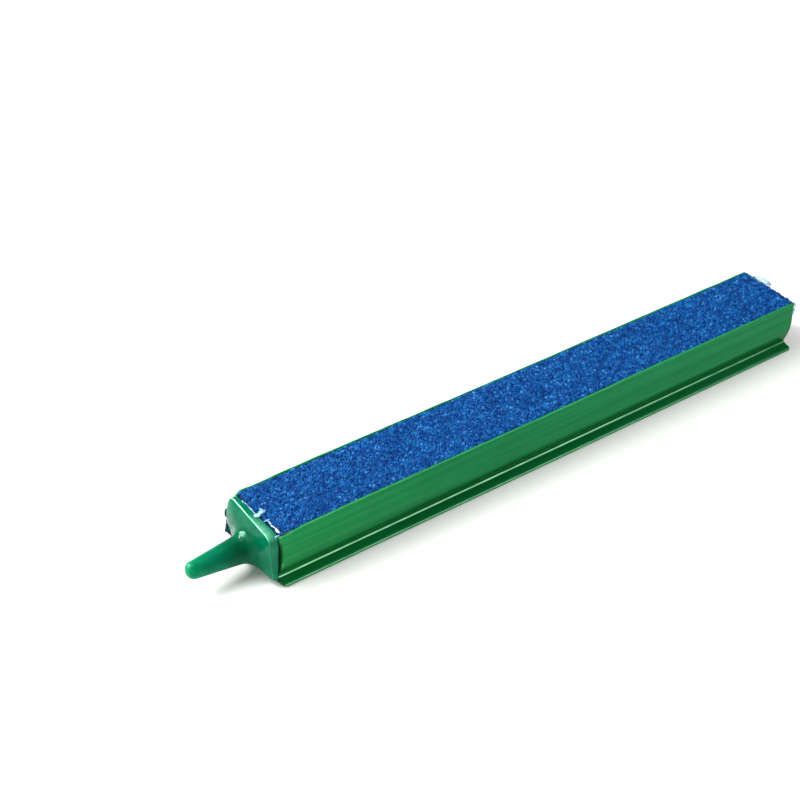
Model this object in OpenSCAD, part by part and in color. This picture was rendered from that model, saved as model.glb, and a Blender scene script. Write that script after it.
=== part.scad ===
// Aquarium air stone bar: a porous mineral strip bedded in an extruded plastic trough, closed at one
// end by a moulded cap with a tapered hose nozzle and at the other by a small plug and a skim of glue.
// Frame: X along the bar with the nozzle towards -X, Y across, Z up. Origin under the middle of the bar.

/* [Bar] */
// Length from the nozzle's tip to the far end
total_len = 150; // [100:5:300]
// Outer width of the trough at its widest
body_w = 15.6; // [15.2:0.2:17]
// Outer width of the trough at its rim
rim_w = 14.8; // [14:0.2:15]
// Height of the trough from the tank floor to the rim
body_h = 11.8; // [11:0.2:13]

/* [Trough walls] */
// Thickness of the trough's walls
wall = 0.9; // [0.8:0.1:1.1]
// Thickness of the wall at the rim
rim_t = 0.5; // [0.4:0.1:0.8]
// Radius of the belly below the straight wall
belly_r = 10; // [9:0.5:12]
// Height at which the belly starts
belly_z = 6.4; // [6:0.2:7]

/* [Foot rails] */
// Width over the two foot rails
foot_w = 17.4; // [17:0.2:18]
// Thickness of a rail at its outer edge
rail_t = 0.9; // [0.7:0.1:1.1]
// Height of the waist above the rails
waist_z = 2; // [1.8:0.1:2.2]

/* [Air duct] */
// Width of the duct under the stone
duct_w = 10; // [9:0.5:10]
// Height of the duct
duct_h = 2.5; // [2:0.1:3]

/* [Stone] */
// How far the stone stands above the rim
stone_proud = 0.2; // [0:0.1:0.4]
// Gap between the stone and the trough's walls
stone_gap = 0.25; // [0.2:0.05:0.4]

/* [Inlet cap] */
// Width of the cap's plate
cap_w = 14.4; // [14:0.2:15]
// Thickness of the cap's plate
cap_t = 2.2; // [2:0.1:3]
// Length of the nozzle in front of the plate
nozzle_len = 13; // [10:0.5:16]
// Radius of the nozzle at its tip
nozzle_tip_r = 1.75; // [1.6:0.05:1.9]
// Radius of the nozzle at its root
nozzle_root_r = 2.7; // [2.7:0.1:3]
// Radius of the air passage
bore_r = 0.7; // [0.6:0.05:0.8]
// Height of the nozzle's axis above the tank floor
nozzle_z = 5.2; // [5:0.1:5.6]

/* [Glue] */
// Thickness of the glue film behind the cap
film_t = 0.4; // [0.3:0.1:0.6]
// Thickness of the glue skim over the far end
skim_t = 0.4; // [0.3:0.1:0.6]
// Depth of the glue beads along the stone
bead_h = 1.2; // [0.8:0.1:1.6]

/* [Hidden] */
$fn = 64;

// Stations along X
tip_x = -total_len / 2;
plate_x = tip_x + nozzle_len;
film_x = plate_x + cap_t;
near_x = film_x + film_t;
far_x = total_len / 2 - skim_t;
trough_len = far_x - near_x;

// Heights of the trough's inside
floor_t = 0.85;
floor_z = waist_z + 0.7;
ledge_z = floor_z + duct_h;
rail_root_z = 1.5;
waist_fillet = 0.35;

// Half width of the outer skin at a height in the belly
function belly_y(z) = body_w / 2 - belly_r + sqrt(belly_r * belly_r - (belly_z - z) * (belly_z - z));
waist_y = belly_y(waist_z);
leg_y = waist_y - wall;

// Half widths of the seat that holds the stone
seat_low_y = belly_y(ledge_z) - wall;
seat_mid_y = body_w / 2 - wall;
seat_top_y = rim_w / 2 - rim_t;

// Rounded edge of the rim, from its outside to its inside
rim_round = [for (a = [0 : 30 : 180])
    [rim_w / 2 - rim_t / 2 * (1 - cos(a)), body_h - rim_t / 2 * (1 - sin(a))]];

// Stone
stone_end_gap = 0.1;
stone_top_z = body_h + stone_proud;
bead_z = body_h - bead_h;

// Inlet cap
cap_low_z = 0.9;
cap_top_r = 1.4;
cap_low_r = 0.8;
cap_bevel = 0.7;
tip_round = 0.75;
root_flare = 2;
spout_len = nozzle_len - root_flare;
chamber_w = 7.2;
chamber_depth = 1.2;
chamber_low_z = floor_z + 0.8;
chamber_top_z = 7.5;
spigot_w = duct_w - 0.4;
spigot_len = 5;
spigot_wall = 1;
spigot_low_z = floor_z + 0.2;
spigot_top_z = ledge_z - 0.2;

// Duct plug
plug_len = 4;
plug_clear = 0.15;
plug_rib = 0.12;
plug_rib_count = 3;

// Bead across the inlet end
inlet_bead_w = film_t + stone_end_gap;
inlet_bead_y = seat_top_y - 0.1;
film_inset = 0.5;

// Lumps of spilt mix on the cap's side: [x from the plate's face, height, radius]
spill = [[1.2, 7.8, 1], [1.1, 5.7, 0.9], [1.2, 3.7, 1]];

// Turns a section drawn in Y and Z into a bar along X
module along_x(from, length) {
    translate([from, 0, 0]) rotate([90, 0, 90]) linear_extrude(length) children();
}

module both_sides() {
    children();
    mirror([1, 0]) children();
}

// Whole outline from the points of its right half, listed from the bottom up
function whole(pts) = concat(pts, [for (i = [len(pts) - 1 : -1 : 0]) [-pts[i][0], pts[i][1]]]);

// ---- Trough: one extrusion, with belly, ledges and two foot rails ----

module outer_skin() {
    intersection() {
        translate([body_w / 2 - belly_r, belly_z]) circle(belly_r, $fn = 180);
        translate([belly_r - body_w / 2, belly_z]) circle(belly_r, $fn = 180);
        translate([-body_w / 2, floor_z - floor_t]) square([body_w, belly_z - floor_z + floor_t]);
    }
    polygon(whole(concat([[body_w / 2, belly_z]], rim_round)));
}

module stone_seat() {
    polygon(whole([[seat_low_y, ledge_z], [seat_mid_y, belly_z], [seat_top_y, body_h - rim_t / 2],
                   [seat_top_y, body_h + 1]]));
}

module duct_section() {
    translate([-duct_w / 2, floor_z]) square([duct_w, duct_h + 0.5]);
}

module foot_rail() {
    difference() {
        union() {
            translate([leg_y, 0]) square([wall, floor_z - floor_t / 2]);
            polygon([[leg_y, 0], [foot_w / 2 - rail_t / 2, 0], [foot_w / 2 - rail_t / 2, rail_t],
                     [waist_y, rail_root_z], [waist_y, waist_z], [leg_y, waist_z]]);
            translate([foot_w / 2 - rail_t / 2, rail_t / 2]) circle(rail_t / 2);
        }
        // soft inner corner under the belly
        translate([waist_y + waist_fillet, waist_z - waist_fillet / 2]) circle(waist_fillet);
    }
}

module trough() {
    color("seagreen") along_x(near_x, trough_len) {
        difference() {
            outer_skin();
            stone_seat();
            duct_section();
        }
        both_sides() foot_rail();
    }
}

// ---- Porous stone ----

module air_stone() {
    color("royalblue") along_x(near_x + stone_end_gap, trough_len - 2 * stone_end_gap)
        polygon(whole([[seat_low_y - stone_gap, ledge_z], [seat_mid_y - stone_gap, belly_z],
                       [seat_top_y - stone_gap, body_h], [seat_top_y - 2 * stone_gap, stone_top_z]]));
}

// ---- Inlet cap and hose nozzle: one moulding, in two nodes so that a hose clears the cap ----

// One slice of the plate, whose edge moves in or out between its front and its back
module cap_slice(x, length, inset_front, inset_back) {
    low_y = cap_w / 2 - cap_low_r;
    top_y = cap_w / 2 - cap_top_r;
    low_c = cap_low_z + cap_low_r;
    top_c = body_h - cap_top_r;
    mid = (low_c + top_c) / 2;
    for (side = [-1, 1]) {
        translate([x, side * low_y, low_c]) rotate([0, 90, 0])
            cylinder(r1 = cap_low_r - inset_front, r2 = cap_low_r - inset_back, h = length);
        translate([x, side * top_y, top_c]) rotate([0, 90, 0])
            cylinder(r1 = cap_top_r - inset_front, r2 = cap_top_r - inset_back, h = length);
    }
    translate([x, low_y, 0]) rotate([90, 0, 0]) linear_extrude(2 * low_y)
        polygon([[0, cap_low_z + inset_front], [length, cap_low_z + inset_back], [length, mid], [0, mid]]);
    translate([x, top_y, 0]) rotate([90, 0, 0]) linear_extrude(2 * top_y)
        polygon([[0, mid], [length, mid], [length, body_h - inset_back], [0, body_h - inset_front]]);
    translate([x, 0, low_c]) linear_extrude(top_c - low_c)
        polygon([[0, inset_front - cap_w / 2], [length, inset_back - cap_w / 2],
                 [length, cap_w / 2 - inset_back], [0, cap_w / 2 - inset_front]]);
}

module cap_plate() {
    cap_slice(plate_x, cap_bevel, cap_bevel, 0);
    cap_slice(plate_x + cap_bevel, cap_t - cap_bevel, 0, 0);
}

// Turns a section drawn as radius against distance from the tip about the nozzle's axis
module about_axis() {
    translate([tip_x, 0, nozzle_z]) rotate([0, 90, 0]) rotate_extrude() children();
}

module air_passage() {
    translate([tip_x - 1, 0, nozzle_z]) rotate([0, 90, 0])
        cylinder(r = bore_r, h = nozzle_len + cap_t - chamber_depth / 2 + 1);
}

module hose_nozzle() {
    color("mediumaquamarine") difference() {
        about_axis() {
            polygon([[0, 0], [nozzle_tip_r - tip_round, 0], [nozzle_tip_r - tip_round, tip_round],
                     [nozzle_tip_r, tip_round], [nozzle_root_r, spout_len], [0, spout_len]]);
            translate([nozzle_tip_r - tip_round, tip_round]) circle(tip_round);
        }
        air_passage();
    }
}

// Hollow-curved collar where the nozzle meets the plate, cut level above the plate's lower edge
module nozzle_collar() {
    intersection() {
        about_axis() difference() {
            translate([0, spout_len]) square([nozzle_root_r + root_flare, root_flare + cap_bevel]);
            translate([nozzle_root_r + root_flare, spout_len]) circle(root_flare);
        }
        translate([plate_x - root_flare - 1, -cap_w / 2, cap_low_z + 0.2])
            cube([root_flare + cap_t, cap_w, body_h]);
    }
}

module spigot() {
    difference() {
        translate([film_x - 0.5, -spigot_w / 2, spigot_low_z])
            cube([spigot_len + 0.5, spigot_w, spigot_top_z - spigot_low_z]);
        translate([film_x - 1, -spigot_w / 2 + spigot_wall, chamber_low_z])
            cube([spigot_len + 2, spigot_w - 2 * spigot_wall, duct_h]);
    }
}

module inlet_cap() {
    color("mediumseagreen") {
        difference() {
            union() {
                cap_plate();
                nozzle_collar();
            }
            air_passage();
            translate([film_x - chamber_depth, -chamber_w / 2, chamber_low_z])
                cube([chamber_depth + 1, chamber_w, chamber_top_z - chamber_low_z]);
        }
        spigot();
    }
}

// ---- Glue and plug ----

module cap_glue_film() {
    ring_clear = 0.15;
    color("honeydew") difference() {
        cap_slice(film_x, film_t, film_inset, film_inset);
        translate([film_x - 1, -spigot_w / 2 - ring_clear, spigot_low_z - ring_clear])
            cube([film_t + 2, spigot_w + 2 * ring_clear, chamber_top_z - spigot_low_z + 2 * ring_clear]);
    }
}

module duct_plug() {
    half = duct_w / 2 - plug_clear;
    low = floor_z + plug_clear;
    height = duct_h - 2 * plug_clear;
    color("darkgreen") {
        translate([far_x - plug_len, -half, low]) cube([plug_len, 2 * half, height]);
        // crush ribs that hold it in the duct
        for (i = [0 : plug_rib_count - 1]) {
            y = -half + (i + 0.5) * 2 * half / plug_rib_count;
            along_x(far_x - plug_len + 0.5, plug_len - 1) translate([y, low]) circle(plug_rib, $fn = 24);
        }
    }
}

module side_bead() {
    slope = (seat_mid_y - seat_top_y) / (body_h - belly_z);
    wide = bead_h * slope;
    color("steelblue") along_x(near_x + stone_end_gap, trough_len - 2 * stone_end_gap)
        polygon([[seat_top_y - stone_gap + wide, bead_z], [seat_top_y + wide, bead_z],
                 [seat_top_y, body_h], [seat_top_y - stone_gap, body_h]]);
}

module stone_bead_left() {
    side_bead();
}

module stone_bead_right() {
    mirror([0, 1, 0]) side_bead();
}

// Bead across the inlet end, in the gap between the cap's back and the stone
module stone_bead_inlet() {
    low = body_h - film_inset;
    round_r = inlet_bead_w / 2;
    color("lightblue") translate([film_x, inlet_bead_y, 0]) rotate([90, 0, 0])
        linear_extrude(2 * inlet_bead_y) {
            translate([0, low]) square([inlet_bead_w, stone_top_z - low]);
            translate([round_r, stone_top_z]) circle(round_r);
        }
}

module end_glue_skim() {
    low = floor_z - 0.3;
    top = body_h;
    color("azure") along_x(far_x, skim_t)
        polygon(whole([[duct_w / 2 + 0.6, low], [seat_mid_y + 0.5, belly_z],
                       [seat_top_y + 0.4, top - 0.6], [seat_top_y - 0.4, top]]));
}

module spilt_mix() {
    color("midnightblue") difference() {
        for (s = spill) translate([plate_x + s[0], cap_w / 2, s[1]]) sphere(s[2], $fn = 40);
        cap_plate();
    }
}

trough();
air_stone();
inlet_cap();
hose_nozzle();
cap_glue_film();
duct_plug();
stone_bead_left();
stone_bead_right();
stone_bead_inlet();
end_glue_skim();
spilt_mix();
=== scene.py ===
import math

import bmesh
import bpy
from mathutils import Matrix, Vector, noise


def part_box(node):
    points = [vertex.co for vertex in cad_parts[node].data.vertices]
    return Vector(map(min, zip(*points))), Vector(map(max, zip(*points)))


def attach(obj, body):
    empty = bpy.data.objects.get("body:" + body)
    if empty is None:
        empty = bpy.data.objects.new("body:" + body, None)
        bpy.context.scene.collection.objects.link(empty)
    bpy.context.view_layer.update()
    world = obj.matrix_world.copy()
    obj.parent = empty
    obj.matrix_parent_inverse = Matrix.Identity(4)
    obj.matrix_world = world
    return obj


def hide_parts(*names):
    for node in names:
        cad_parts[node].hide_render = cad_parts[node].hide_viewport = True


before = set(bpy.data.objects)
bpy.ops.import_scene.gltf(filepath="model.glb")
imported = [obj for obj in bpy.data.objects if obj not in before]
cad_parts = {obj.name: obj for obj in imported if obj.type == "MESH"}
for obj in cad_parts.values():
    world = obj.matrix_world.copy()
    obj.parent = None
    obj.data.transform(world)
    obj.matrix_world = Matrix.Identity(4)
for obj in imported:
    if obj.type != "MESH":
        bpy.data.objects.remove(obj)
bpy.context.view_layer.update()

# An air stone bar: blue bonded grit in a green extruded trough, with a moulded cap and hose nozzle at -X.
# Sizes below are in millimetres, and MM turns them into the frame's metres.
MM = 0.001


def node_box(node):
    """Lowest and highest corners of a CAD node, in millimetres."""
    low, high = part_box(node)
    return Vector(low) / MM, Vector(high) / MM


trough_low, trough_high = node_box("trough")
stone_low, stone_high = node_box("air_stone")
plate_low, cap_high = node_box("inlet_cap")
cap_low = Vector((node_box("hose_nozzle")[0].x, plate_low.y, plate_low.z))
film_low = node_box("cap_glue_film")[0]
skim_low, skim_high = node_box("end_glue_skim")
bead_high = node_box("stone_bead_inlet")[1]


def ripple(x, pitch, lane=0.0):
    """Smooth unevenness between about -1 and 1, with waves about one pitch long."""
    return 2.0 * noise.noise(Vector((x / pitch, lane * 7.31, lane * 3.17 + 0.5)))


def ripple3(point, pitch, lane=0.0):
    """The same unevenness, over a point in space."""
    return 2.0 * noise.noise(Vector(point) / pitch + Vector((lane * 5.3, lane * 9.1, lane * 2.7)))


def ease(low, high, value):
    """Rises smoothly from 0 at low to 1 at high."""
    t = min(1.0, max(0.0, (value - low) / (high - low)))
    return t * t * (3.0 - 2.0 * t)


# ---------------------------------------------------------------- mesh makers

def make_piece(name, points, faces, material, smooth=True):
    mesh = bpy.data.meshes.new(name)
    mesh.from_pydata([(p[0] * MM, p[1] * MM, p[2] * MM) for p in points], [], faces)
    mesh.update()
    mesh.materials.append(material)
    if smooth:
        mesh.shade_smooth()
    piece = bpy.data.objects.new(name, mesh)
    bpy.context.scene.collection.objects.link(piece)
    return piece


def mark_edges(piece, weights):
    """Keeps, per point, how strong a painted highlight the surface gets along an edge or bend."""
    layer = piece.data.attributes.new("painted_highlight", "FLOAT", "POINT")
    layer.data.foreach_set("value", weights)
    return piece


def loft(rings, close_ends=True):
    """Skin over closed rings of equal length; each end is closed by a face."""
    count = len(rings[0])
    points = [p for ring in rings for p in ring]
    faces = []
    for r in range(len(rings) - 1):
        for i in range(count):
            j = (i + 1) % count
            a, b = r * count + i, r * count + j
            faces.append((a, b, b + count, a + count))
    if close_ends:
        faces.append(tuple(range(count - 1, -1, -1)))
        last = (len(rings) - 1) * count
        faces.append(tuple(range(last, last + count)))
    return points, faces


def outward(piece):
    """Turns every face outwards."""
    work = bmesh.new()
    work.from_mesh(piece.data)
    bmesh.ops.recalc_face_normals(work, faces=work.faces)
    work.to_mesh(piece.data)
    work.free()
    return piece


def crease(piece, degrees):
    """Smooth shading that keeps edges sharper than the angle."""
    piece.data.set_sharp_from_angle(angle=math.radians(degrees))
    return piece


def bake_modifiers(piece):
    """The piece with its modifiers worked into a plain mesh."""
    graph = bpy.context.evaluated_depsgraph_get()
    mesh = bpy.data.meshes.new_from_object(piece.evaluated_get(graph))
    mesh.name = piece.name
    piece.modifiers.clear()
    piece.data = mesh
    return piece


def settle(piece, nodes):
    """Puts a finished piece on the frame in place of its CAD nodes."""
    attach(piece, "root")
    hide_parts(*nodes)
    return piece


# ---------------------------------------------------------------- finishes

def blank_finish(name):
    material = bpy.data.materials.new(name)
    material.use_nodes = True
    tree = material.node_tree
    surface = tree.nodes["Principled BSDF"]
    return material, tree, surface


def lay_pattern(tree, kind, stretch, **values):
    """A texture on Object coordinates; stretch is in waves a millimetre along X, Y and Z."""
    where = tree.nodes.new("ShaderNodeTexCoord")
    turn = tree.nodes.new("ShaderNodeMapping")
    turn.inputs["Scale"].default_value = [s / MM for s in stretch]
    pattern = tree.nodes.new(kind)
    tree.links.new(where.outputs["Object"], turn.inputs["Vector"])
    tree.links.new(turn.outputs["Vector"], pattern.inputs["Vector"])
    for key, value in values.items():
        socket = key.replace("_", " ").title()
        if socket in pattern.inputs:
            pattern.inputs[socket].default_value = value
        else:
            setattr(pattern, key, value)
    if "scale" not in values and "Scale" in pattern.inputs:
        pattern.inputs["Scale"].default_value = 1.0
    return pattern


def ramp(tree, source, stops, smooth=False):
    node = tree.nodes.new("ShaderNodeValToRGB")
    node.color_ramp.interpolation = "EASE" if smooth else "LINEAR"
    marks = node.color_ramp.elements
    while len(marks) < len(stops):
        marks.new(0.5)
    for mark, (at, colour) in zip(marks, stops):
        mark.position = at
        mark.color = (*colour, 1.0) if len(colour) == 3 else colour
    tree.links.new(source, node.inputs["Fac"])
    return node.outputs["Color"]


def blend_colour(tree, mode, amount, below, above):
    node = tree.nodes.new("ShaderNodeMix")
    node.data_type = "RGBA"
    node.blend_type = mode
    for socket, value in ((node.inputs[0], amount), (node.inputs[6], below), (node.inputs[7], above)):
        if isinstance(value, bpy.types.NodeSocket):
            tree.links.new(value, socket)
        elif isinstance(value, tuple):
            socket.default_value = (*value, 1.0)
        else:
            socket.default_value = value
    return node.outputs[2]


def remap(tree, source, from_low, from_high, to_low, to_high):
    node = tree.nodes.new("ShaderNodeMapRange")
    values = (from_low, from_high, to_low, to_high)
    for key, value in zip(("From Min", "From Max", "To Min", "To Max"), values):
        node.inputs[key].default_value = value
    tree.links.new(source, node.inputs["Value"])
    return node.outputs["Result"]


def place_on_bar(tree):
    """Where a point lies on the bar, as separate X, Y and Z in metres."""
    where = tree.nodes.new("ShaderNodeTexCoord")
    split = tree.nodes.new("ShaderNodeSeparateXYZ")
    tree.links.new(where.outputs["Object"], split.inputs["Vector"])
    return split.outputs


def multiply(tree, first, second, clamp=False):
    node = tree.nodes.new("ShaderNodeMath")
    node.operation = "MULTIPLY"
    node.use_clamp = clamp
    tree.links.new(first, node.inputs[0])
    tree.links.new(second, node.inputs[1])
    return node.outputs[0]


def raise_bumps(tree, surface, source, depth_mm, strength=1.0, under=None):
    bump = tree.nodes.new("ShaderNodeBump")
    bump.inputs["Strength"].default_value = strength
    bump.inputs["Distance"].default_value = depth_mm * MM
    tree.links.new(source, bump.inputs["Height"])
    if under is not None:
        tree.links.new(under, bump.inputs["Normal"])
    tree.links.new(bump.outputs["Normal"], surface.inputs["Normal"])
    return bump.outputs["Normal"]


def painted_highlight(tree, fade_from, fade_to, least):
    """The painted highlights on edges and bends, broken up along the piece, and fading to the least over a
    stretch of X.
    """
    kept = tree.nodes.new("ShaderNodeAttribute")
    kept.attribute_name = "painted_highlight"
    # noise breaks the painted highlight up along the piece
    highlight_breakup = lay_pattern(tree, "ShaderNodeTexNoise", (0.25, 1.5, 1.5), detail=3.0)
    broken = remap(tree, highlight_breakup.outputs["Fac"], 0.35, 0.6, 0.6, 1.0)
    level = multiply(tree, kept.outputs["Fac"], broken, clamp=True)
    along = remap(tree, place_on_bar(tree)["X"], fade_from * MM, fade_to * MM, 1.0, least)
    return multiply(tree, level, along)


def green_extrusion():
    """Glossy, slightly see-through green plastic with the lines of its die along it."""
    material, tree, surface = blank_finish("green extrusion")
    streaks = lay_pattern(tree, "ShaderNodeTexNoise", (0.012, 1.3, 1.3), detail=4.0, roughness=0.6)
    clouds = lay_pattern(tree, "ShaderNodeTexNoise", (0.05, 0.12, 0.12), detail=2.0)
    place = place_on_bar(tree)
    body = ramp(tree, streaks.outputs["Fac"],
                [(0.3, (0.002, 0.140, 0.038)), (0.5, (0.004, 0.172, 0.050)), (0.72, (0.010, 0.205, 0.064))])
    # painted shade: darker under the belly, waist and foot, which also stands for the hollow duct and thick
    # waist showing through
    shade_band = ramp(tree, remap(tree, place["Z"], 0.0, 12.0 * MM, 0.0, 1.0),
                [(0.03, (0.5, 0.80, 0.75)), (0.10, (0.25, 0.52, 0.45)), (0.25, (0.15, 0.42, 0.25)),
                 (0.35, (0.85, 0.92, 0.88)), (1.0, (1.05, 1.02, 1.05))], smooth=True)
    body = blend_colour(tree, "MULTIPLY", 1.0, body, shade_band)
    # the wall is yellower and lighter towards the inlet end
    pale = remap(tree, place["X"], trough_low.x * MM, (trough_low.x + 45) * MM, 0.6, 0.0)
    body = blend_colour(tree, "MIX", pale, body, blend_colour(tree, "MULTIPLY", 1.0, body, (3.4, 1.36, 1.15)))
    mottle = ramp(tree, clouds.outputs["Fac"], [(0.35, (0.8, 0.85, 0.8)), (0.65, (1.2, 1.12, 1.15))])
    body = blend_colour(tree, "MULTIPLY", 0.4, body, mottle)
    # painted shade darkens the sawn end under the cap, below the rim, where glue also wets it
    end_shade = remap(tree, place["X"], (trough_low.x - 0.1) * MM, (trough_low.x + 0.4) * MM, 0.95, 0.0)
    below_rim = remap(tree, place["Z"], 9.5 * MM, 10.5 * MM, 1.0, 0.0)
    body = blend_colour(tree, "MIX", multiply(tree, end_shade, below_rim), body, (0.001, 0.035, 0.006))
    # painted highlights on the waist, the rim's outer edge, the foot edge and the sawn end, fading towards
    # the far end
    body = blend_colour(tree, "MIX", painted_highlight(tree, 15.0, trough_high.x, 0.3), body, (0.38, 0.94, 0.50))
    tree.links.new(body, surface.inputs["Base Color"])
    tree.links.new(remap(tree, streaks.outputs["Fac"], 0.3, 0.7, 0.12, 0.22), surface.inputs["Roughness"])
    surface.inputs["Specular IOR Level"].default_value = 0.07
    surface.inputs["Specular Tint"].default_value = (0.30, 1.0, 0.42, 1.0)
    surface.inputs["Subsurface Weight"].default_value = 0.1
    surface.inputs["Subsurface Radius"].default_value = (0.0002, 0.0012, 0.0004)
    surface.inputs["Subsurface Scale"].default_value = 1.0
    raise_bumps(tree, surface, streaks.outputs["Fac"], 0.03, 0.5)
    return material


def teal_moulding():
    """Glossy blue-green moulded plastic that lets light through where it is thin."""
    material, tree, surface = blank_finish("teal moulding")
    swirl = lay_pattern(tree, "ShaderNodeTexNoise", (0.12, 0.25, 0.25), detail=3.0, distortion=1.2)
    skin = lay_pattern(tree, "ShaderNodeTexNoise", (1.2, 1.2, 1.2), detail=3.0)
    place = place_on_bar(tree)
    body = ramp(tree, swirl.outputs["Fac"],
                [(0.3, (0.001, 0.105, 0.050)), (0.5, (0.001, 0.135, 0.066)), (0.7, (0.003, 0.168, 0.086))])
    # painted light: the nozzle is brighter towards its tip, as if light came through its thin plastic
    tip = remap(tree, place["X"], (cap_low.x + 0.5) * MM, (cap_low.x + 4) * MM, 1.0, 0.0)
    body = blend_colour(tree, "MIX", tip, body, blend_colour(tree, "MULTIPLY", 1.0, body, (1.5, 1.4, 1.15)))
    # painted shade darkens the nozzle's root, where the plastic is thick
    root = ramp(tree, remap(tree, place["X"], (cap_low.x + 6.5) * MM, (cap_low.x + 14.5) * MM, 0.0, 1.0),
                [(0.0, (1, 1, 1)), (0.45, (0.55, 0.62, 0.55)), (0.72, (0.62, 0.72, 0.66)), (1.0, (1, 1, 1))],
                smooth=True)
    body = blend_colour(tree, "MULTIPLY", 1.0, body, root)
    # painted highlight along the cap's front edge
    body = blend_colour(tree, "MIX", painted_highlight(tree, cap_low.x, cap_high.x, 1.0), body, (0.36, 0.86, 0.56))
    tree.links.new(body, surface.inputs["Base Color"])
    tree.links.new(remap(tree, skin.outputs["Fac"], 0.3, 0.7, 0.07, 0.14), surface.inputs["Roughness"])
    surface.inputs["Specular IOR Level"].default_value = 0.09
    surface.inputs["Specular Tint"].default_value = (0.45, 1.0, 0.80, 1.0)
    surface.inputs["Subsurface Weight"].default_value = 0.85
    surface.inputs["Subsurface Radius"].default_value = (0.0003, 0.0032, 0.0024)
    surface.inputs["Subsurface Scale"].default_value = 1.0
    raise_bumps(tree, surface, skin.outputs["Fac"], 0.01, 0.3)
    return material


def blue_grit(name):
    """Bonded mineral grit: each grain has its own blue, a few are pale, and resin darkens the gaps."""
    material, tree, surface = blank_finish(name)
    tint = tree.nodes.new("ShaderNodeAttribute")
    tint.attribute_name = "grain_tint"
    patches = lay_pattern(tree, "ShaderNodeTexNoise", (0.8, 0.8, 0.8), detail=2.0)
    body = ramp(tree, tint.outputs["Fac"],
                [(0.0, (0.000, 0.036, 0.195)), (0.35, (0.001, 0.066, 0.265)), (0.7, (0.004, 0.100, 0.33)),
                 (0.94, (0.014, 0.135, 0.40)), (1.0, (0.05, 0.22, 0.54))])
    mottle = ramp(tree, patches.outputs["Fac"], [(0.36, (0.5, 0.64, 0.74)), (0.64, (1.5, 1.26, 1.16))])
    body = blend_colour(tree, "MULTIPLY", 1.0, body, mottle)
    tree.links.new(body, surface.inputs["Base Color"])
    surface.inputs["Roughness"].default_value = 0.6
    surface.inputs["Specular IOR Level"].default_value = 0.04
    fine = lay_pattern(tree, "ShaderNodeTexNoise", (5.0, 5.0, 5.0), detail=2.0)
    raise_bumps(tree, surface, fine.outputs["Fac"], 0.08, 0.8)
    return material


def resin_bed(name, tones):
    """Resin and fine grit: from light grains to dark gaps."""
    material, tree, surface = blank_finish(name)
    grit = lay_pattern(tree, "ShaderNodeTexVoronoi", (2.6, 2.6, 2.6))
    shade = lay_pattern(tree, "ShaderNodeTexNoise", (0.7, 0.7, 0.7), detail=4.0)
    body = ramp(tree, grit.outputs["Distance"], list(zip((0.0, 0.45, 0.9), tones)))
    mottle = ramp(tree, shade.outputs["Fac"], [(0.3, (0.5, 0.55, 0.6)), (0.7, (1.4, 1.35, 1.3))])
    body = blend_colour(tree, "MULTIPLY", 0.6, body, mottle)
    tree.links.new(body, surface.inputs["Base Color"])
    surface.inputs["Roughness"].default_value = 0.55
    surface.inputs["Specular IOR Level"].default_value = 0.06
    raise_bumps(tree, surface, grit.outputs["Distance"], 0.25, 1.0)
    return material


def cured_glue(name, tone, cloud, see_through):
    """Cured glue, clear to cloudy."""
    material, tree, surface = blank_finish(name)
    haze = lay_pattern(tree, "ShaderNodeTexNoise", (0.9, 0.9, 0.9), detail=4.0, distortion=0.6)
    body = ramp(tree, haze.outputs["Fac"], [(0.35, tone), (0.7, cloud)])
    tree.links.new(body, surface.inputs["Base Color"])
    tree.links.new(remap(tree, haze.outputs["Fac"], 0.3, 0.7, 0.08, 0.3), surface.inputs["Roughness"])
    surface.inputs["Transmission Weight"].default_value = see_through
    surface.inputs["IOR"].default_value = 1.48
    raise_bumps(tree, surface, haze.outputs["Fac"], 0.12, 0.8)
    return material


GREEN = green_extrusion()
TEAL = teal_moulding()
GRIT = blue_grit("blue grit")
BED = resin_bed("resin bed", ((0.009, 0.095, 0.36), (0.005, 0.055, 0.24), (0.001, 0.018, 0.09)))
SPILT = resin_bed("spilt mix", ((0.002, 0.066, 0.105), (0.001, 0.038, 0.066), (0.000, 0.013, 0.028)))
CLEAR = cured_glue("clear glue", (0.42, 0.64, 0.78), (0.80, 0.90, 0.95), 0.8)
SKIN = cured_glue("thin clear glue", (0.10, 0.34, 0.58), (0.42, 0.66, 0.84), 0.94)
PALE = cured_glue("pale glue and painted highlight", (0.10, 0.34, 0.66), (0.50, 0.74, 0.90), 0.2)
WHITE = cured_glue("white glue", (0.45, 0.68, 0.85), (0.85, 0.92, 0.97), 0.15)
BLUE_RESIN = cured_glue("blue resin", (0.002, 0.03, 0.11), (0.006, 0.06, 0.20), 0.1)


# ---------------------------------------------------------------- trough

ARC_STEPS = 6


def rounded_outline(corners, steps=ARC_STEPS):
    """Outline through corners (y, z, radius), each turned by an arc.

    After the radius come how strong a painted highlight the bend gets and which of the arc's points carry it.
    """
    out, weights = [], []
    count = len(corners)
    for i, (y, z, radius, *highlight_paint) in enumerate(corners):
        here = Vector((y, z))
        back = Vector(corners[i - 1][:2]) - here
        ahead = Vector(corners[(i + 1) % count][:2]) - here
        reach = min(radius, 0.49 * back.length, 0.49 * ahead.length)
        start = here + back.normalized() * reach
        end = here + ahead.normalized() * reach
        for k in range(steps + 1):
            t = k / steps
            point = start.lerp(here, t).lerp(here.lerp(end, t), t)
            out.append((point.x, point.y))
            weights.append(highlight_paint[0] if highlight_paint and k in highlight_paint[1:] else 0.0)
    return out, weights


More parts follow.
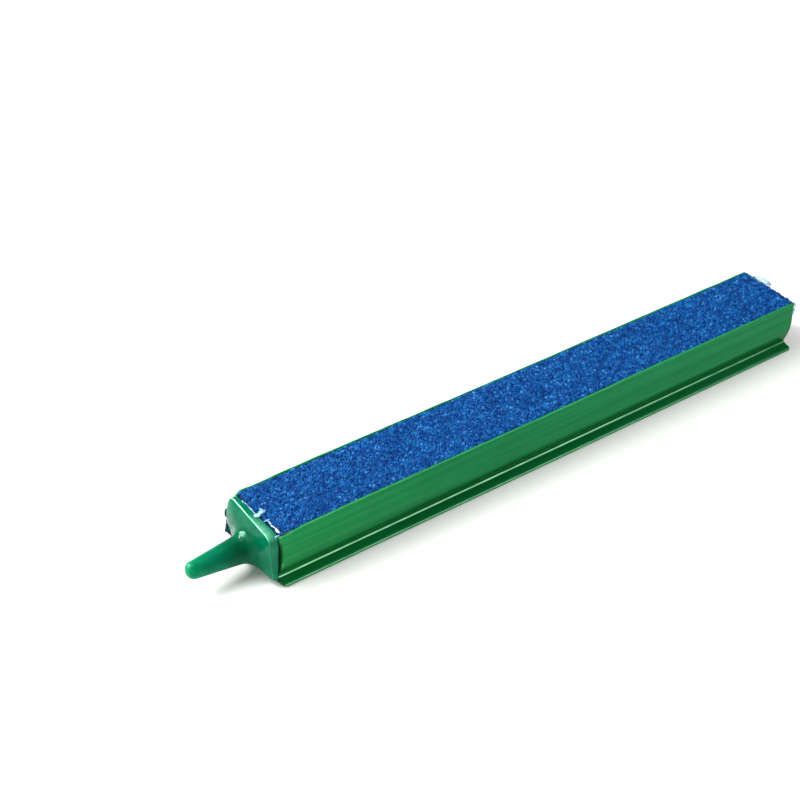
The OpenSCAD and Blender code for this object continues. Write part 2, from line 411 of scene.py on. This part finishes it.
def trough_corners():
    """Right half of the trough's section, from its underside round to the duct's floor."""
    rim, foot = trough_high.z, trough_high.y
    leg, leg_top = 5.93, 1.85
    duct, duct_floor, ledge = 5.0, 2.7, 5.2
    rim_outside, rim_inside = 7.42, 6.94
    # after a radius: how strong a painted highlight the arc gets and which of its points carry it, on the
    # foot edge, the waist and the rim's outer edge
    foot_edge = (foot, 0.88, 0.42, 0.5, 1, 2)
    waist = (6.72, 1.38, 0.45, 1.0, 2, 3, 4)
    belly = [(6.80, 2.15, 0.25), (7.12, 2.95, 0.4), (7.42, 3.9, 0.5), (7.66, 5.0, 0.6), (7.80, 6.4, 0.8)]
    seat = [(6.90, 6.4, 0.6), (6.80, ledge, 0.15)]
    return ([(leg, leg_top, 0.25), (leg, 0.0, 0.2), (foot, 0.0, 0.45), foot_edge, waist] + belly
            + [(rim_outside, rim, 0.24, 0.13, 2, 3, 4), (rim_inside, rim, 0.22)] + seat
            + [(duct, ledge, 0.15), (duct, duct_floor, 0.3)])


def make_trough():
    right = trough_corners()
    left = [(-y, z, radius, *highlight_paint[:1], *(ARC_STEPS - k for k in highlight_paint[1:]))
            for y, z, radius, *highlight_paint in reversed(right)]
    outline, highlight_weights = rounded_outline(right + left)
    length = trough_high.x - trough_low.x
    stations, crowding = 300, 0.06
    burr_depth, burr_reach = 0.05, 0.25
    rings, highlight_per_point = [], []
    for s in range(stations + 1):
        t = s / stations
        # stations crowd towards both ends, where the saw left marks
        t = t - crowding * math.sin(2 * math.pi * t)
        x = trough_low.x + length * t
        from_cut, to_end = x - trough_low.x, trough_high.x - x
        near_end = 1.0 - ease(0.0, 14.0, from_cut)
        burr = burr_depth * (2.0 - ease(0.0, burr_reach, from_cut) - ease(0.0, burr_reach, to_end))
        ring = []
        for (y, z), white in zip(outline, highlight_weights):
            side = 1.0 if y > 0 else -1.0
            high = ease(3.5, trough_high.z, z)
            lean = 0.07 * ripple(x, 26, side) * high
            top = ease(trough_high.z - 0.5, trough_high.z, z)
            dip = (0.05 * ripple(x, 5.5, 3 + side) + 0.14 * near_end * (ripple(x, 2.2, 6 + side) - 0.5)) * top
            if side < 0:
                dip -= 0.55 * (1.0 - ease(1.0, 5.0, from_cut)) * top
            else:
                dip -= 0.8 * (1.0 - ease(0.0, 1.5, from_cut)) * ease(trough_high.z - 1.5, trough_high.z, z)
            # the saw cut is a little askew, its upper corners stand out and its feet are worn
            askew = (-0.2 * (y + 7.4) / 14.8 - 0.38 * ease(9.2, 10.3, z)) * (1.0 - ease(0.0, 4.0, from_cut))
            worn = 0.4 * (1.0 - ease(0.0, 1.2, from_cut)) * (1.0 - ease(0.2, 0.9, z)) * ease(7.4, 8.7, abs(y))
            ring.append((x + askew, y + lean - burr * side, z + min(0.04, dip) - burr * top + worn))
            # the sawn edge is painted pale, and the upper corner that stands out gets a painted highlight
            if s == 1 and z > 2.0:
                white = max(white, 0.3 * ripple(z, 0.9, 4))
            if side > 0 and z > 9.5:
                white = max(white, 0.22 * (1.0 - ease(0.3, 2.5, from_cut)))
            highlight_per_point.append(white)
        rings.append(ring)
    points, faces = loft(rings)
    piece = mark_edges(make_piece("green_trough", points, faces, GREEN), highlight_per_point)
    outward(piece)
    return settle(crease(piece, 40), ["trough"])


make_trough()


# ---------------------------------------------------------------- stone

def stone_end_lag(x, y):
    """How far the stone's inlet end holds back towards the bar's +Y side."""
    return 0.4 * ease(1.5, 6.0, y) * (1.0 - ease(0.0, 4.0, x - stone_low.x))


def make_bed():
    """The block of resin and grit, with an uneven top that the loose-looking grains sit in."""
    across, pitch = 44, 0.4
    half, wall_y = stone_high.y - 0.1, 6.88
    along = int((stone_high.x - stone_low.x) / pitch)
    top = stone_high.z - 0.28
    points, faces = [], []
    for i in range(along + 1):
        x = stone_low.x + (stone_high.x - stone_low.x) * i / along
        for j in range(across + 1):
            y = -wall_y + 2 * wall_y * j / across
            rise = 0.10 * ripple3((x, y, 0), 1.1) + 0.08 * ripple3((x, y, 3), 4.5)
            edge = max(0.0, abs(y) - 6.4) / 0.48
            points.append((x + stone_end_lag(x, y), y, top + rise - 0.35 * edge * edge))
    row = across + 1
    for i in range(along):
        for j in range(across):
            a = i * row + j
            faces.append((a, a + row, a + row + 1, a + 1))
    # skirt down to the ledges
    rim = ([i * row for i in range(along + 1)] + [along * row + j for j in range(1, row)]
           + [i * row + across for i in range(along - 1, -1, -1)] + [j for j in range(across - 1, 0, -1)])
    base = len(points)
    for index in rim:
        x, y, _ = points[index]
        points.append((x, max(-half, min(half, y)), stone_low.z + 0.05))
    count = len(rim)
    for k in range(count):
        n = (k + 1) % count
        faces.append((rim[k], base + k, base + n, rim[n]))
    faces.append(tuple(base + k for k in range(count)))
    return outward(make_piece("stone_bed", points, faces, BED))


def grain_tree():
    """Scatters angular grains over a surface; each keeps its own size, turn and tint."""
    tree = bpy.data.node_groups.new("Scatter grains", "GeometryNodeTree")
    sockets = [("Surface", "NodeSocketGeometry", None), ("Spacing", "NodeSocketFloat", 0.38 * MM),
               ("Smallest", "NodeSocketFloat", 0.18 * MM), ("Largest", "NodeSocketFloat", 0.38 * MM),
               ("Seed", "NodeSocketInt", 5), ("Finish", "NodeSocketMaterial", None)]
    for name, kind, value in sockets:
        socket = tree.interface.new_socket(name, in_out="INPUT", socket_type=kind)
        if value is not None:
            socket.default_value = value
    tree.interface.new_socket("Grains", in_out="OUTPUT", socket_type="NodeSocketGeometry")
    new, link = tree.nodes.new, tree.links.new
    given, result = new("NodeGroupInput"), new("NodeGroupOutput")
    spread = new("GeometryNodeDistributePointsOnFaces")
    spread.distribute_method = "POISSON"
    spread.inputs["Density Max"].default_value = 4.0e7
    link(given.outputs["Surface"], spread.inputs["Mesh"])
    link(given.outputs["Spacing"], spread.inputs["Distance Min"])
    link(given.outputs["Seed"], spread.inputs["Seed"])
    grain = new("GeometryNodeMeshIcoSphere")
    grain.inputs["Radius"].default_value = 1.0
    grain.inputs["Subdivisions"].default_value = 1
    place = new("GeometryNodeInstanceOnPoints")
    link(spread.outputs["Points"], place.inputs["Points"])
    link(grain.outputs["Mesh"], place.inputs["Instance"])
    turn = new("FunctionNodeRandomValue")
    turn.data_type = "FLOAT_VECTOR"
    turn.inputs["Max"].default_value = (6.28, 6.28, 6.28)
    size = new("FunctionNodeRandomValue")
    size.data_type = "FLOAT"
    shape = new("FunctionNodeRandomValue")
    shape.data_type = "FLOAT_VECTOR"
    shape.inputs["Min"].default_value = (0.75, 0.75, 0.75)
    shape.inputs["Max"].default_value = (1.25, 1.25, 1.25)
    scale = new("ShaderNodeVectorMath")
    scale.operation = "SCALE"
    link(given.outputs["Smallest"], size.inputs[2])
    link(given.outputs["Largest"], size.inputs[3])
    for draw, offset in ((turn, 11), (size, 23), (shape, 37)):
        draw.inputs["Seed"].default_value = offset
    link(shape.outputs[0], scale.inputs[0])
    link(size.outputs[1], scale.inputs["Scale"])
    link(turn.outputs[0], place.inputs["Rotation"])
    link(scale.outputs[0], place.inputs["Scale"])
    tint = new("FunctionNodeRandomValue")
    tint.data_type = "FLOAT"
    tint.inputs["Seed"].default_value = 51
    keep = new("GeometryNodeStoreNamedAttribute")
    keep.data_type = "FLOAT"
    keep.domain = "INSTANCE"
    keep.inputs["Name"].default_value = "grain_tint"
    link(place.outputs["Instances"], keep.inputs["Geometry"])
    link(tint.outputs[1], keep.inputs["Value"])
    solid, coat = new("GeometryNodeRealizeInstances"), new("GeometryNodeSetMaterial")
    link(keep.outputs["Geometry"], solid.inputs["Geometry"])
    link(solid.outputs["Geometry"], coat.inputs["Geometry"])
    link(given.outputs["Finish"], coat.inputs["Material"])
    link(coat.outputs["Geometry"], result.inputs["Grains"])
    return tree


GRAIN_TREE = grain_tree()


def scatter_grains(name, surface_points, surface_faces, finish, **sizes):
    """Grains over a patch, as a plain mesh."""
    piece = make_piece(name, surface_points, surface_faces, finish, smooth=False)
    scatter = piece.modifiers.new("grains", "NODES")
    scatter.node_group = GRAIN_TREE
    sockets = {item.name: item.identifier for item in GRAIN_TREE.interface.items_tree}
    for key, value in dict(Finish=finish, **sizes).items():
        scatter[sockets[key]] = value
    return bake_modifiers(piece)


def make_grit():
    """Three runs of grains over the top of the bed."""
    runs = ("near", "middle", "far")
    length = (stone_high.x - stone_low.x) / len(runs)
    half, steps, lanes = 6.85, 60, 12
    for n, run in enumerate(runs):
        start = stone_low.x + n * length
        points = []
        for i in range(steps + 1):
            x = start + length * i / steps
            for j in range(lanes + 1):
                y = -half + 2 * half * j / lanes
                edge = max(0.0, abs(y) - 6.3)
                level = stone_high.z - 0.26 + 0.08 * ripple3((x, y, 3), 4.5) - 0.25 * edge
                points.append((x + stone_end_lag(x, y), y, level))
        row = lanes + 1
        faces = [(i * row + j, (i + 1) * row + j, (i + 1) * row + j + 1, i * row + j + 1)
                 for i in range(steps) for j in range(lanes)]
        grit = scatter_grains(f"stone_grit_{run}", points, faces, GRIT, Seed=5 + n)
        settle(grit, ["air_stone"])


settle(make_bed(), ["air_stone"])
make_grit()


# ---------------------------------------------------------------- inlet cap and nozzle

nozzle_axis = Vector((0.0, 5.2))


def cap_edge(angle, inset, corner_top=1.5, corner_low=0.8):
    """Point of the plate's outline seen from the nozzle's axis at an angle, in Y and Z."""
    half = cap_high.y - inset
    low, high = cap_low.z + inset, cap_high.z - inset
    dy, dz = math.cos(angle), math.sin(angle)
    cy, cz = nozzle_axis
    # close in on the rounded box's edge by halves
    near, far = 0.0, 20.0
    for _ in range(40):
        reach = (near + far) / 2
        y, z = abs(cy + dy * reach), cz + dz * reach
        radius = max(0.05, (corner_top if z > (low + high) / 2 else corner_low) - inset)
        over_y = y - (half - radius)
        over_z = max(z - (high - radius), (low + radius) - z)
        inside = (y <= half and low <= z <= high
                  and not (over_y > 0 and over_z > 0 and math.hypot(over_y, over_z) > radius))
        if inside:
            near = reach
        else:
            far = reach
    return near


def build_cap():
    """Nozzle, flare, domed face, rounded edge and back, as one skin of rings round the nozzle's axis."""
    count = 128
    angles = [2 * math.pi * i / count for i in range(count)]
    rings = []

    def circle(x, radius):
        rings.append([(x, nozzle_axis.x + radius * math.cos(a), nozzle_axis.y + radius * math.sin(a))
                      for a in angles])

    bore, tip_r, root_r, tip_round = 0.25, 1.74, 2.66, 1.5
    tip_x = cap_low.x + 0.3
    for depth, radius in ((9.0, 0.6), (5.0, 0.6), (1.2, 0.6), (0.7, bore), (0.2, bore)):
        circle(tip_x + depth, radius)
    # rounded end: from the bore's mouth over a dome onto the nozzle's side
    for k in range(13):
        turn = math.pi / 2 * k / 12
        radius = bore + 0.05 + (tip_r - bore - 0.05) * math.sin(turn)
        circle(tip_x + 0.05 + tip_round * (1 - math.cos(turn)), radius)
    # tapered side
    flare, dome, edge_round = 2.3, 0.30, 0.25
    face_x = film_low.x - 2.1
    side_end = face_x - dome - flare - tip_x
    for k in range(1, 25):
        t = k / 24
        x = tip_round + (side_end - tip_round) * t
        circle(tip_x + x, tip_r + (root_r - tip_r) * (x - tip_round) / (side_end - tip_round))
    # flare and face: radius grows from the nozzle to the plate's outline
    steps = 40

    def askew(y, z):
        """The plate is thinner at its +Y corners and towards its foot, where it was pressed on harder."""
        across = (y + cap_high.y) / (2 * cap_high.y)
        down = (cap_high.z - z) / (cap_high.z - cap_low.z)
        corner = (2.0 * down - 1.0) ** 2
        return min(1.6, 1.2 * across * (0.1 + 0.9 * corner) + 1.25 * down * down)

    for k in range(1, steps + 1):
        t = k / steps
        ring = []
        for a in angles:
            edge = cap_edge(a, edge_round)
            off = (edge - root_r) * t
            reach = root_r + off
            y, z = nozzle_axis.x + reach * math.cos(a), nozzle_axis.y + reach * math.sin(a)
            rise = flare - math.sqrt(max(0.0, flare * flare - max(0.0, flare - off) ** 2))
            x = face_x - dome * (1 - t * t) - rise + askew(y, z) * t
            ring.append((x, y, z))
        rings.append(ring)

    def plate_ring(x, inset, lean):
        ring = []
        for a in angles:
            reach = cap_edge(a, inset)
            y, z = nozzle_axis.x + reach * math.cos(a), nozzle_axis.y + reach * math.sin(a)
            ring.append((x + lean * askew(y, z), y, z))
        rings.append(ring)

    edge_first = len(rings)
    for k in range(1, 8):
        turn = math.pi / 2 * k / 7
        plate_ring(face_x + edge_round * (1 - math.cos(turn)), edge_round * (1 - math.sin(turn)), 1.0)
    for x, inset in ((film_low.x - 0.1, 0.0), (film_low.x, 0.12)):
        plate_ring(x, inset, 0.0)
    points, faces = loft(rings)
    # painted highlight along the front edge, strongest along its top
    edge_share = {1: 0.6, 2: 0.7, 3: 0.6, 4: 0.3, 5: 0.25, 6: 0.25}
    highlight_weights = []
    for r, ring in enumerate(rings):
        share = edge_share.get(r - edge_first, 0.0)
        for x, y, z in ring:
            top = ease(cap_high.z - 0.8, cap_high.z - 0.2, z)
            near = 1.0 if share > 0.5 else 1.0 - ease(-3.0, 1.5, y)
            highlight_weights.append(share * near * (0.08 + top))
    piece = mark_edges(make_piece("inlet_cap_and_nozzle", points, faces, TEAL), highlight_weights)
    outward(piece)
    return settle(crease(piece, 50), ["inlet_cap", "hose_nozzle"])


build_cap()


# ---------------------------------------------------------------- glue and spilt mix

def glue_run(name, path, radii, finish, flat=1.0, sides=12):
    """A run of glue along a path of points, with its own radius at each."""
    rings = []
    for i, here in enumerate(path):
        before, after = path[max(0, i - 1)], path[min(len(path) - 1, i + 1)]
        ahead = (Vector(after) - Vector(before)).normalized()
        side = ahead.cross(Vector((0, 0, 1)))
        side = side.normalized() if side.length > 1e-6 else Vector((0, 1, 0))
        up = side.cross(ahead)
        rings.append([tuple(Vector(here) + radii[i] * (side * math.cos(2 * math.pi * k / sides)
                                                       + up * flat * math.sin(2 * math.pi * k / sides)))
                      for k in range(sides)])
    points, faces = loft(rings)
    return outward(make_piece(name, points, faces, finish))


def lump(name, middle, size, finish, seed, rough=0.25, levels=4):
    """An uneven blob: a ball pulled about by noise."""
    work = bmesh.new()
    bmesh.ops.create_icosphere(work, subdivisions=levels, radius=1.0)
    for v in work.verts:
        way = v.co.normalized()
        pull = 1.0 + rough * ripple3(way, 0.9, seed) + rough * 0.5 * ripple3(way, 0.35, seed + 3)
        v.co = Vector((middle[0] + size[0] * way.x * pull, middle[1] + size[1] * way.y * pull,
                       middle[2] + size[2] * way.z * pull)) * MM
    mesh = bpy.data.meshes.new(name)
    work.to_mesh(mesh)
    work.free()
    mesh.shade_smooth()
    mesh.materials.append(finish)
    piece = bpy.data.objects.new(name, mesh)
    bpy.context.scene.collection.objects.link(piece)
    return piece


def make_side_beads():
    """Resin in the seams between the stone and the trough's two walls."""
    seam_y, seam_z = 6.80, stone_high.z - 0.60
    steps = 380
    for name, side in (("left", 1.0), ("right", -1.0)):
        path, radii = [], []
        for i in range(steps + 1):
            x = stone_low.x + (stone_high.x - stone_low.x) * i / steps
            y = side * (seam_y + 0.04 * ripple(x, 2.1, side))
            path.append((x, y, seam_z + 0.10 * ripple(x, 1.7, 2 * side)))
            radii.append(0.13 + 0.04 * ripple(x, 1.3, 3 * side))
        bead = glue_run(f"resin_line_{name}", path, radii, BLUE_RESIN, sides=8)
        settle(bead, [f"stone_bead_{name}"])


def make_inlet_bead():
    """Glue across the stone's inlet end: a thin pale run behind the cap that is a painted highlight on the
    cap's back edge, a whiter ragged run, and flakes.
    """
    end, top = stone_low.x, stone_high.z
    # the first run is a painted highlight along the cap's back edge, made as pale glue
    runs = (("pale_glue_highlight_line", 4.6, -0.3, film_low.x + 0.05, top - 0.25, 0.09, PALE),
            ("white_glue_line", -4.0, -6.7, bead_high.x - 0.05, top - 0.05, 0.12, WHITE))
    for name, first_y, last_y, x0, z0, thick, finish in runs:
        path, radii = [], []
        steps = 60
        for i in range(steps + 1):
            y = first_y + (last_y - first_y) * i / steps
            path.append((x0 + 0.20 * ripple(y, 1.3, 4) * thick / 0.15, y, z0 + 0.06 * ripple(y, 1.1, 5)))
            taper = min(1.0, 4.0 * min(i, steps - i) / steps + 0.3)
            radii.append(max(0.05, thick * (1.0 + 0.7 * ripple(y, 0.8, 6)) * taper))
        settle(glue_run(name, path, radii, finish), ["stone_bead_inlet"])
    flakes = [((end - 0.6, -0.55, top + 0.02), (0.62, 0.42, 0.10)),
              ((end + 0.3, -0.35, top + 0.06), (0.75, 0.40, 0.10)),
              ((end + 0.7, 0.0, top + 0.08), (0.35, 0.55, 0.12)),
              ((end - 0.1, -2.75, top), (0.55, 0.16, 0.10)),
              ((end + 0.05, -3.4, top), (0.18, 0.55, 0.10)),
              ((end - 0.7, -6.9, top - 0.4), (0.45, 0.16, 0.12))]
    for n, (middle, size) in enumerate(flakes):
        settle(lump(f"glue_flake_{n}", middle, size, PALE, n + 13, rough=0.35, levels=3),
               ["stone_bead_inlet"])


make_side_beads()
make_inlet_bead()


def make_spill():
    """Lumps of spilt mix stuck to the cap's +Y side."""
    side = cap_high.y
    spots = [((film_low.x - 0.75, side + 0.24, 7.2), (0.8, 0.72, 1.5)),
             ((film_low.x - 0.6, side + 0.48, 3.7), (0.75, 0.72, 1.7)),
             ((film_low.x - 0.6, side + 0.30, 5.4), (0.7, 0.6, 0.8)),
             ((film_low.x + 0.1, side + 0.30, 2.2), (0.5, 0.5, 0.8))]
    for n, (middle, size) in enumerate(spots):
        settle(lump(f"spilt_lump_{n}", middle, size, SPILT, n + 2), ["spilt_mix"])


def make_end_glue():
    """Clear glue over the far end: a thin skin, with blobs at its top corner."""
    across, up = 40, 28
    points, faces = [], []
    low, high = skim_low.z, skim_high.z
    end, rim_z = skim_low.x, trough_high.z
    for layer in (0, 1):
        for j in range(up + 1):
            z = low + (high - low) * j / up
            half = 7.1 - 1.6 * (1 - ease(low, low + 4, z))
            for i in range(across + 1):
                y = -half + 2 * half * i / across
                swell = 0.0
                if layer:
                    swell = 0.22 + 0.10 * ripple3((0, y, z), 1.8, 2)
                    thin_sides = min(1.0, 4 * min(i, across - i) / across + 0.15)
                    thin_ends = min(1.0, 4 * min(j, up - j) / up + 0.15)
                    swell *= thin_sides * thin_ends
                points.append((end + 0.01 + swell, y, z))
    row = across + 1
    size = row * (up + 1)
    for j in range(up):
        for i in range(across):
            a = j * row + i
            faces.append((a, a + row, a + row + 1, a + 1))
            b = a + size
            faces.append((b, b + 1, b + row + 1, b + row))
    rim = ([i for i in range(row)] + [j * row + across for j in range(1, up + 1)]
           + [up * row + i for i in range(across - 1, -1, -1)] + [j * row for j in range(up - 1, 0, -1)])
    for k, index in enumerate(rim):
        n = rim[(k + 1) % len(rim)]
        faces.append((index, n, n + size, index + size))
    skin = outward(make_piece("end_glue_skin", points, faces, SKIN))
    settle(skin, ["end_glue_skim"])
    blobs = [((end + 0.7, 3.0, rim_z - 0.45), (1.5, 2.5, 0.75)),
             ((end + 0.2, 5.6, rim_z - 0.5), (0.8, 1.2, 0.5)),
             ((end + 0.5, -7.1, rim_z - 1.1), (0.45, 0.4, 0.8)),
             ((end + 0.45, -7.2, rim_z - 2.5), (0.35, 0.3, 0.7))]
    for n, (middle, size) in enumerate(blobs):
        blob = lump(f"end_glue_blob_{n}", middle, size, CLEAR, n + 7, rough=0.1)
        settle(blob, ["end_glue_skim"])


make_spill()
make_end_glue()


def dress_cad_node(node, finish):
    """Gives a CAD node that stays its own finish."""
    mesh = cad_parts[node].data
    mesh.materials.clear()
    mesh.materials.append(finish)


# the glue film in the cap's joint is near black: painted shade in the recessed gap, over the glue
JOINT_GLUE_SHADE = cured_glue("joint glue in painted shade", (0.0, 0.012, 0.004), (0.001, 0.04, 0.014), 0.0)
PLUG = cured_glue("dark green plug", (0.002, 0.06, 0.02), (0.006, 0.12, 0.05), 0.0)
dress_cad_node("cap_glue_film", JOINT_GLUE_SHADE)
dress_cad_node("duct_plug", PLUG)


# ---------------------------------------------------------------- floor, light and camera

def pale_floor():
    material, tree, surface = blank_finish("pale floor")
    paper = lay_pattern(tree, "ShaderNodeTexNoise", (0.02, 0.02, 0.02), detail=2.0)
    tone = ramp(tree, paper.outputs["Fac"], [(0.3, (0.90, 0.90, 0.885)), (0.7, (0.92, 0.92, 0.905))])
    tree.links.new(tone, surface.inputs["Base Color"])
    surface.inputs["Roughness"].default_value = 0.8
    surface.inputs["Specular IOR Level"].default_value = 0.1
    half = 2500
    points = [(-half, -half, 0), (half, -half, 0), (half, half, 0), (-half, half, 0)]
    floor = make_piece("studio_floor", points, [(0, 1, 2, 3)], material, smooth=False)


def soft_box(name, place, aim, size, power, gloss_only=False):
    """A rectangular light; one for gloss only shows in reflections and lights nothing else."""
    light = bpy.data.lights.new(name, "AREA")
    light.shape = "RECTANGLE"
    light.size, light.size_y = size[0] * MM, size[1] * MM
    light.energy = power
    lamp = bpy.data.objects.new(name, light)
    lamp.location = Vector(place) * MM
    lamp.rotation_euler = (Vector(aim) - Vector(place)).to_track_quat("-Z", "Y").to_euler()
    if gloss_only:
        lamp.visible_diffuse = False
        lamp.visible_transmission = False
    bpy.context.scene.collection.objects.link(lamp)


def studio_light():
    world = bpy.data.worlds.new("studio")
    world.use_nodes = True
    sky = world.node_tree.nodes["Background"]
    sky.inputs["Color"].default_value = (1.0, 1.0, 0.99, 1.0)
    sky.inputs["Strength"].default_value = 0.36
    bpy.context.scene.world = world
    soft_box("key", (-260, 165, 400), (-10, 0, 5), (300, 380), 2.3)
    soft_box("inlet light", (-330, 40, 120), (-60, 0, 5), (160, 160), 0.42)
    soft_box("side strip", (411, -480, 490), (0, 0, 5), (600, 80), 3.2)
    soft_box("back strip", (-180, 310, 330), (-30, 0, 5), (40, 130), 1.5)
    # two panels that only show as shine on the cap and the nozzle
    soft_box("cap shine", (-330, 293, 219), (-65, 0, 5), (250, 250), 12.0, gloss_only=True)
    soft_box("nozzle shine", (240, -490, 160), (-68, 0, 5), (220, 40), 2.0, gloss_only=True)


def camera():
    """Looks along the bar from its nozzle end, from above and to one side."""
    azimuth, elevation, roll = math.radians(-40.11), math.radians(36.75), math.radians(3.75)
    aim = Vector((-11.4, 19.5, 5.0))
    distance = 373.4
    away = Vector((math.sin(azimuth) * math.cos(elevation), -math.cos(azimuth) * math.cos(elevation),
                   math.sin(elevation)))
    lens = bpy.data.cameras.new("camera")
    lens.sensor_width = 36.0
    lens.lens = 83.3
    lens.clip_start, lens.clip_end = 0.01, 10.0
    eye = bpy.data.objects.new("camera", lens)
    eye.location = (aim + away * distance) * MM
    turn = (-away).to_track_quat("-Z", "Y").to_matrix()
    eye.rotation_euler = (turn @ Matrix.Rotation(roll, 3, "Z")).to_euler()
    bpy.context.scene.collection.objects.link(eye)
    bpy.context.scene.camera = eye


pale_floor()
studio_light()
camera()
bpy.context.scene.view_settings.view_transform = "Standard"
